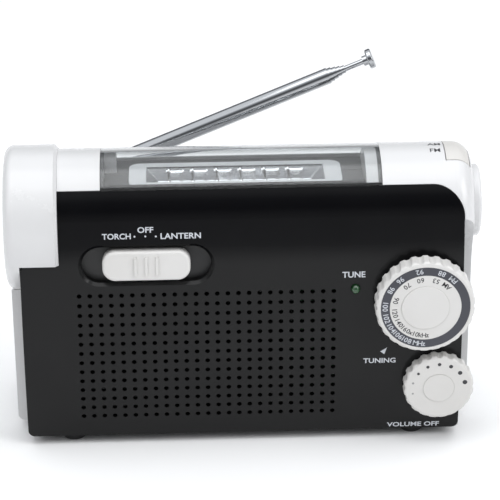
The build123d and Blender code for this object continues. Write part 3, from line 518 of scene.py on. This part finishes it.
def buildLampCells():
    low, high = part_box("lantern_leds")
    pitch = (high.x - low.x - 7.6 * mm) / (lampCells["count"] - 1)
    size = Vector((7.6 * mm, high.y - low.y, high.z - low.z))
    made = []
    clearSelection()
    inner = size.x - 2 * lampCells["wallThick"]
    middle = Vector((low.x + size.x / 2, (low.y + high.y) / 2, (low.z + high.z) / 2))
    barrel = (inner, size.y - 2 * lampCells["wallOver"], size.z - lampCells["wallOver"])
    bpy.ops.mesh.primitive_cube_add(size=1, location=middle, scale=barrel)
    cell = bpy.context.object
    bpy.ops.object.transform_apply(location=True, rotation=True, scale=True)
    shift = lampCells["wallOver"] / 2
    for vertex in cell.data.vertices:
        vertex.co.z -= shift
    # round the two long upper edges, so that each cell is a bright half barrel
    pickFaces(cell, lambda centre, normal: False)
    bpy.ops.mesh.select_mode(type="EDGE")
    bpy.ops.object.mode_set(mode="OBJECT")
    top = max(v.co.z for v in cell.data.vertices)
    for edge in cell.data.edges:
        first, second = (cell.data.vertices[i].co for i in edge.vertices)
        edge.select = min(first.z, second.z) > top - 1e-5 and abs(first.y - second.y) < 1e-6
    bpy.ops.object.mode_set(mode="EDIT")
    bpy.ops.mesh.bevel(offset=lampCells["round"], segments=6, affect="EDGES")
    bpy.ops.object.mode_set(mode="OBJECT")
    # end walls that stand a little proud of the barrel
    for side in (-1, 1):
        pickFaces(cell, lambda centre, normal: normal.x * side > 0.9
                  and abs(centre.x - middle.x) > inner / 2 - 1e-5)
        bpy.ops.mesh.extrude_region_move(TRANSFORM_OT_translate={"value": (0, 0, 0)})
        bpy.ops.transform.resize(value=(1, size.y / (size.y - 2 * lampCells["wallOver"]),
                                        size.z / (size.z - lampCells["wallOver"])),
                                 center_override=(middle.x, middle.y, low.z))
        proud = (side * lampCells["wallThick"], 0, 0)
        bpy.ops.mesh.extrude_region_move(TRANSFORM_OT_translate={"value": proud})
        bpy.ops.object.mode_set(mode="OBJECT")
    # a narrow groove along the top of the barrel
    pickFaces(cell, lambda centre, normal: normal.z > 0.99 and abs(centre.x - middle.x) < inner / 2 - 1e-4)
    bpy.ops.mesh.inset(thickness=1.2 * mm, depth=0)
    bpy.ops.mesh.extrude_region_move(TRANSFORM_OT_translate={"value": (0, 0, -lampCells["slit"])})
    bpy.ops.object.mode_set(mode="OBJECT")
    clearSelection()
    cell.select_set(True)
    bpy.context.view_layer.objects.active = cell
    bpy.ops.object.shade_smooth_by_angle(angle=math.radians(35))
    made.append(cell)
    for index in range(1, lampCells["count"]):
        again = cell.copy()
        again.data = cell.data.copy()
        bpy.context.scene.collection.objects.link(again)
        again.data.transform(Matrix.Translation((pitch * index, 0, 0)))
        made.append(again)
    cells = joined(made)
    settle(cells, "lantern_cells", finishes["cells"], "cabinet")
    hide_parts("lantern_leds")


buildLampCells()
print("stage: lantern cells")


panelPrint = {
    "torch": ("TORCH", -52.9, 99.4, 12.1, 2.55, 0.0),
    "off": ("OFF", -40.7, 102.0, 6.7, 2.55, 0.0),
    "lantern": ("LANTERN", -25.9, 99.2, 17.0, 2.55, 0.0),
    "tune": ("TUNE", 47.1, 80.5, 9.8, 2.7, 0.0),
}
knobPrint = {  # each word's place from the middle of its knob
    "tuning_knob": ("TUNING", -18.3, -29.2, 14.0, 2.4),
    "volume_knob": ("VOLUME OFF", -9.8, -22.3, 22.9, 2.4),
}
lowestPrint = 6.4
panelWeight = 0.022
printThick = 0.00006
dots = {"places": [(-45.3, 99.2), (-40.75, 99.2), (-36.35, 99.1)], "radius": 0.42 * mm}
pointer = {"place": (-16.5, -24.6), "long": 3.2 * mm, "wide": 2.2 * mm, "turn": math.radians(-37)}
inkWhite = inkFinish("ink_white", rgb(0.60, 0.62, 0.66), rgb(0.42, 0.44, 0.48))
inkBlack = inkFinish("ink_black", rgb(0.030, 0.030, 0.034), rgb(0.075, 0.075, 0.08))
inkGrey = inkFinish("ink_grey", rgb(0.30, 0.30, 0.30), rgb(0.40, 0.40, 0.40))


def printedDot(place, radius, thick=0.00008, corners=20):
    clearSelection()
    bpy.ops.mesh.primitive_cylinder_add(vertices=corners, radius=radius, depth=thick, location=(0, 0, 0))
    dot = bpy.context.object
    pickFaces(dot, lambda centre, normal: normal.z > 0.9)
    bpy.ops.mesh.bevel(offset=thick * 0.3, segments=1, affect="EDGES")
    bpy.ops.object.mode_set(mode="OBJECT")
    dot.data.transform(place)
    return dot


def buildPanelPrint():
    pieces = []
    for words, x, z, wide, high, slant in panelPrint.values():
        place, outward = onSkin("front_cabinet", x * mm, z * mm)
        pieces.append(printedWords(words, high * mm, printPlace(place, outward), wide * mm,
                                   panelWeight, printThick, slant))
    for node, (words, x, z, wide, high) in knobPrint.items():
        middle = sum(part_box(node), Vector()) / 2
        height = max(middle.z + z * mm, lowestPrint * mm)
        place, outward = onSkin("front_cabinet", middle.x + x * mm, height)
        pieces.append(printedWords(words, high * mm, printPlace(place, outward), wide * mm,
                                   panelWeight, printThick))
    for x, z in dots["places"]:
        place, outward = onSkin("front_cabinet", x * mm, z * mm)
        pieces.append(printedDot(printPlace(place, outward), dots["radius"]))
    middle = sum(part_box("tuning_knob"), Vector()) / 2
    across, upward = pointer["place"]
    place, outward = onSkin("front_cabinet", middle.x + across * mm, middle.z + upward * mm)
    clearSelection()
    bpy.ops.mesh.primitive_cylinder_add(vertices=3, radius=1.0, depth=1.0, location=(0, 0, 0))
    arrow = bpy.context.object  # three corners, one of them at +Y
    pickFaces(arrow, lambda centre, normal: normal.z > 0.9)
    bpy.ops.mesh.bevel(offset=0.04, segments=1, affect="EDGES")
    bpy.ops.object.mode_set(mode="OBJECT")
    arrow.data.transform(printPlace(place, outward, pointer["turn"])
                         @ Matrix.Diagonal((pointer["wide"] / 1.73, pointer["long"] / 1.5, 0.00008, 1)))
    pieces.append(arrow)
    settle(joined(pieces), "panel_print", inkWhite, "cabinet")


buildPanelPrint()
print("stage: panel print")


dial = {
    "outerRadius": 17.1 * mm, "outerHigh": 2.3 * mm,
    "outer": [("FM", 49), ("88", 68), ("92", 100), ("96", 130), ("98", 150), ("100", 177), ("102", 196),
              ("104", 213), ("106", 228), ("108", 243), ("MHz", 262)],
    "innerRadius": 13.1 * mm, "innerHigh": 2.2 * mm,
    "inner": [("AM", 50), ("53", 72), ("60", 101), ("70", 128), ("90", 164), ("120", 190), ("140", 212),
              ("160", 231), ("x10kHz", 259)],
}


letterSqueeze = 0.84


def ringWords(words, angle, radius, high, centre, front, weight):
    widths = {"1": 0.50, "M": 0.86, "m": 0.86, "z": 0.5, "x": 0.5, "k": 0.55, "F": 0.58, "A": 0.66}
    pieces = []
    steps = [widths.get(letter, 0.63) * high / 0.72 * letterSqueeze for letter in words]
    start = -sum(steps) / 2
    for letter, step in zip(words, steps):
        turn = math.radians(angle) + (start + step / 2) / radius
        start += step
        place = Vector((centre.x + radius * math.cos(turn), front, centre.z + radius * math.sin(turn)))
        spot = printPlace(place, Vector((0, -1, 0)), turn + math.pi / 2)
        pieces.append(printedWords(letter, high, spot, None, weight))
    return pieces


def buildDialPrint():
    low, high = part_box("tuning_scale")
    centre = (low + high) / 2
    light, dark = [], []
    for words, angle in dial["outer"]:
        light += ringWords(words, angle, dial["outerRadius"], dial["outerHigh"], centre, low.y, 0.012)
    for words, angle in dial["inner"]:
        dark += ringWords(words, angle, dial["innerRadius"], dial["innerHigh"], centre, low.y, 0.012)
    settle(joined(light), "dial_print_light", inkWhite, "tuning")
    settle(joined(dark), "dial_print_dark", inkBlack, "tuning")


buildDialPrint()
print("stage: dial print")

volumeMarks = {"radius": 11.5 * mm, "first": 193, "last": 13, "count": 8,
               "small": 0.45 * mm, "large": 1.05 * mm}


def buildVolumeMarks():
    low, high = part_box("volume_knob")
    centre = (low + high) / 2
    pale, bold = [], []
    for index in range(volumeMarks["count"]):
        share = index / (volumeMarks["count"] - 1)
        turn = math.radians(volumeMarks["first"] + (volumeMarks["last"] - volumeMarks["first"]) * share)
        place = Vector((centre.x + volumeMarks["radius"] * math.cos(turn), low.y,
                        centre.z + volumeMarks["radius"] * math.sin(turn)))
        size = volumeMarks["small"] + (volumeMarks["large"] - volumeMarks["small"]) * share
        mark = printedDot(printPlace(place, Vector((0, -1, 0))), size)
        (pale if index < 2 else bold).append(mark)
    settle(joined(pale), "volume_marks_pale", inkGrey, "volume")
    settle(joined(bold), "volume_marks", inkBlack, "volume")


buildVolumeMarks()
print("stage: volume marks")


bandPrint = {"words": [("AM", 83.0, 2.5), ("FM", 83.0, -3.5)], "high": 2.8 * mm}


def buildBandPrint():
    pieces = []
    for words, x, y in bandPrint["words"]:
        above = Vector((x * mm, y * mm, 1.0))
        place, outward = cad["rear_cabinet"].ray_cast(above, Vector((0, 0, -1)))[1:3]
        pieces.append(printedWords(words, bandPrint["high"], printPlace(place, outward), None, 0.012))
    settle(joined(pieces), "band_print", inkBlack, "cabinet")


buildBandPrint()
print("stage: band letters")


def buildFloor():
    clearSelection()
    bpy.ops.mesh.primitive_plane_add(size=12, location=(0, 0, 0))
    floor = bpy.context.object
    floor.name = "studio_floor"
    make = Finish("studio_paper", {"IOR": 1.3, "Specular IOR Level": 0.1})
    grain = make.noise(300.0, 4.0, 0.6)
    cloud = make.noise(1.2, 2.0, 0.5)
    shade = make.blend(cloud, rgb(0.955, 0.955, 0.955), rgb(0.97, 0.97, 0.97))
    floor.data.materials.append(make.finish(colour=shade, roughness=0.75 + grain * 0.15,
                                            normal=make.bump(grain, 0.0001, 0.2)))


def softbox(name, place, target, wide, high, power, colour=(1, 1, 1)):
    clearSelection()
    bpy.ops.object.light_add(type="AREA", location=place)
    lamp = bpy.context.object
    lamp.name = name
    lamp.data.shape = "RECTANGLE"
    lamp.data.size = wide
    lamp.data.size_y = high
    lamp.data.energy = power
    lamp.data.color = colour
    lamp.rotation_euler = (Vector(target) - Vector(place)).to_track_quat("-Z", "Y").to_euler()


light = {
    "sky": 0.90,
    "skyBands": [(0.0, rgb(0.80, 0.81, 0.82)), (0.49, rgb(1, 1, 1)), (0.54, rgb(0.62, 0.63, 0.65)),
                 (0.64, rgb(0.10, 0.105, 0.11)), (0.78, rgb(0.30, 0.31, 0.33)), (0.88, rgb(1.35, 1.38, 1.42))],
    "top": (5.6, (0.0, -0.15, 1.35)),
    "left": (2.9, (-1.15, -0.75, 0.85)),
    "right": (7.5, (1.2, -0.7, 0.9)),
}


def buildLight():
    world = bpy.data.worlds.new("studio_sky")
    world.use_nodes = True
    nodes = world.node_tree.nodes
    links = world.node_tree.links
    view = nodes.new("ShaderNodeTexCoord")
    split = nodes.new("ShaderNodeSeparateXYZ")
    share = nodes.new("ShaderNodeMapRange")
    bands = nodes.new("ShaderNodeValToRGB")
    share.inputs["From Min"].default_value = -1.0
    for index, (position, colour) in enumerate(light["skyBands"]):
        if index > 1:
            bands.color_ramp.elements.new(position)
        bands.color_ramp.elements[index].position = position
        bands.color_ramp.elements[index].color = colour
    links.new(view.outputs["Object"], split.inputs[0])
    links.new(split.outputs["Z"], share.inputs["Value"])
    links.new(share.outputs[0], bands.inputs["Fac"])
    links.new(bands.outputs["Color"], nodes["Background"].inputs["Color"])
    world.node_tree.nodes["Background"].inputs["Strength"].default_value = light["sky"]
    bpy.context.scene.world = world
    softbox("top_light", light["top"][1], (0, 0, 0.05), 1.3, 0.9, light["top"][0])
    softbox("left_light", light["left"][1], (0, 0, 0.07), 0.7, 0.9, light["left"][0])
    softbox("right_light", light["right"][1], (0, 0, 0.07), 0.7, 0.9, light["right"][0])
    bpy.context.scene.view_settings.view_transform = "Standard"


camera = {"place": Vector((-0.0283, -0.8892, 0.5188)), "aim": Vector((0.0327, 0.8958, -0.4432)),
          "roll": math.radians(0.29), "lens": 164.4}


def buildCamera():
    clearSelection()
    bpy.ops.object.camera_add(location=(0, 0, 0))
    eye = bpy.context.object
    eye.name = "studio_camera"
    eye.data.sensor_width = 36.0
    eye.data.lens = camera["lens"]
    eye.data.clip_start = 0.01
    aim = camera["aim"].normalized()
    level = aim.cross(Vector((0, 0, 1))).normalized()
    upward = level.cross(aim)
    across = level * math.cos(camera["roll"]) - upward * math.sin(camera["roll"])
    up = level * math.sin(camera["roll"]) + upward * math.cos(camera["roll"])
    place = camera["place"]
    eye.matrix_world = Matrix((
        (across.x, up.x, -aim.x, place.x),
        (across.y, up.y, -aim.y, place.y),
        (across.z, up.z, -aim.z, place.z),
        (0, 0, 0, 1)))
    bpy.context.scene.camera = eye


buildFloor()
buildLight()
buildCamera()
print("stage: studio")
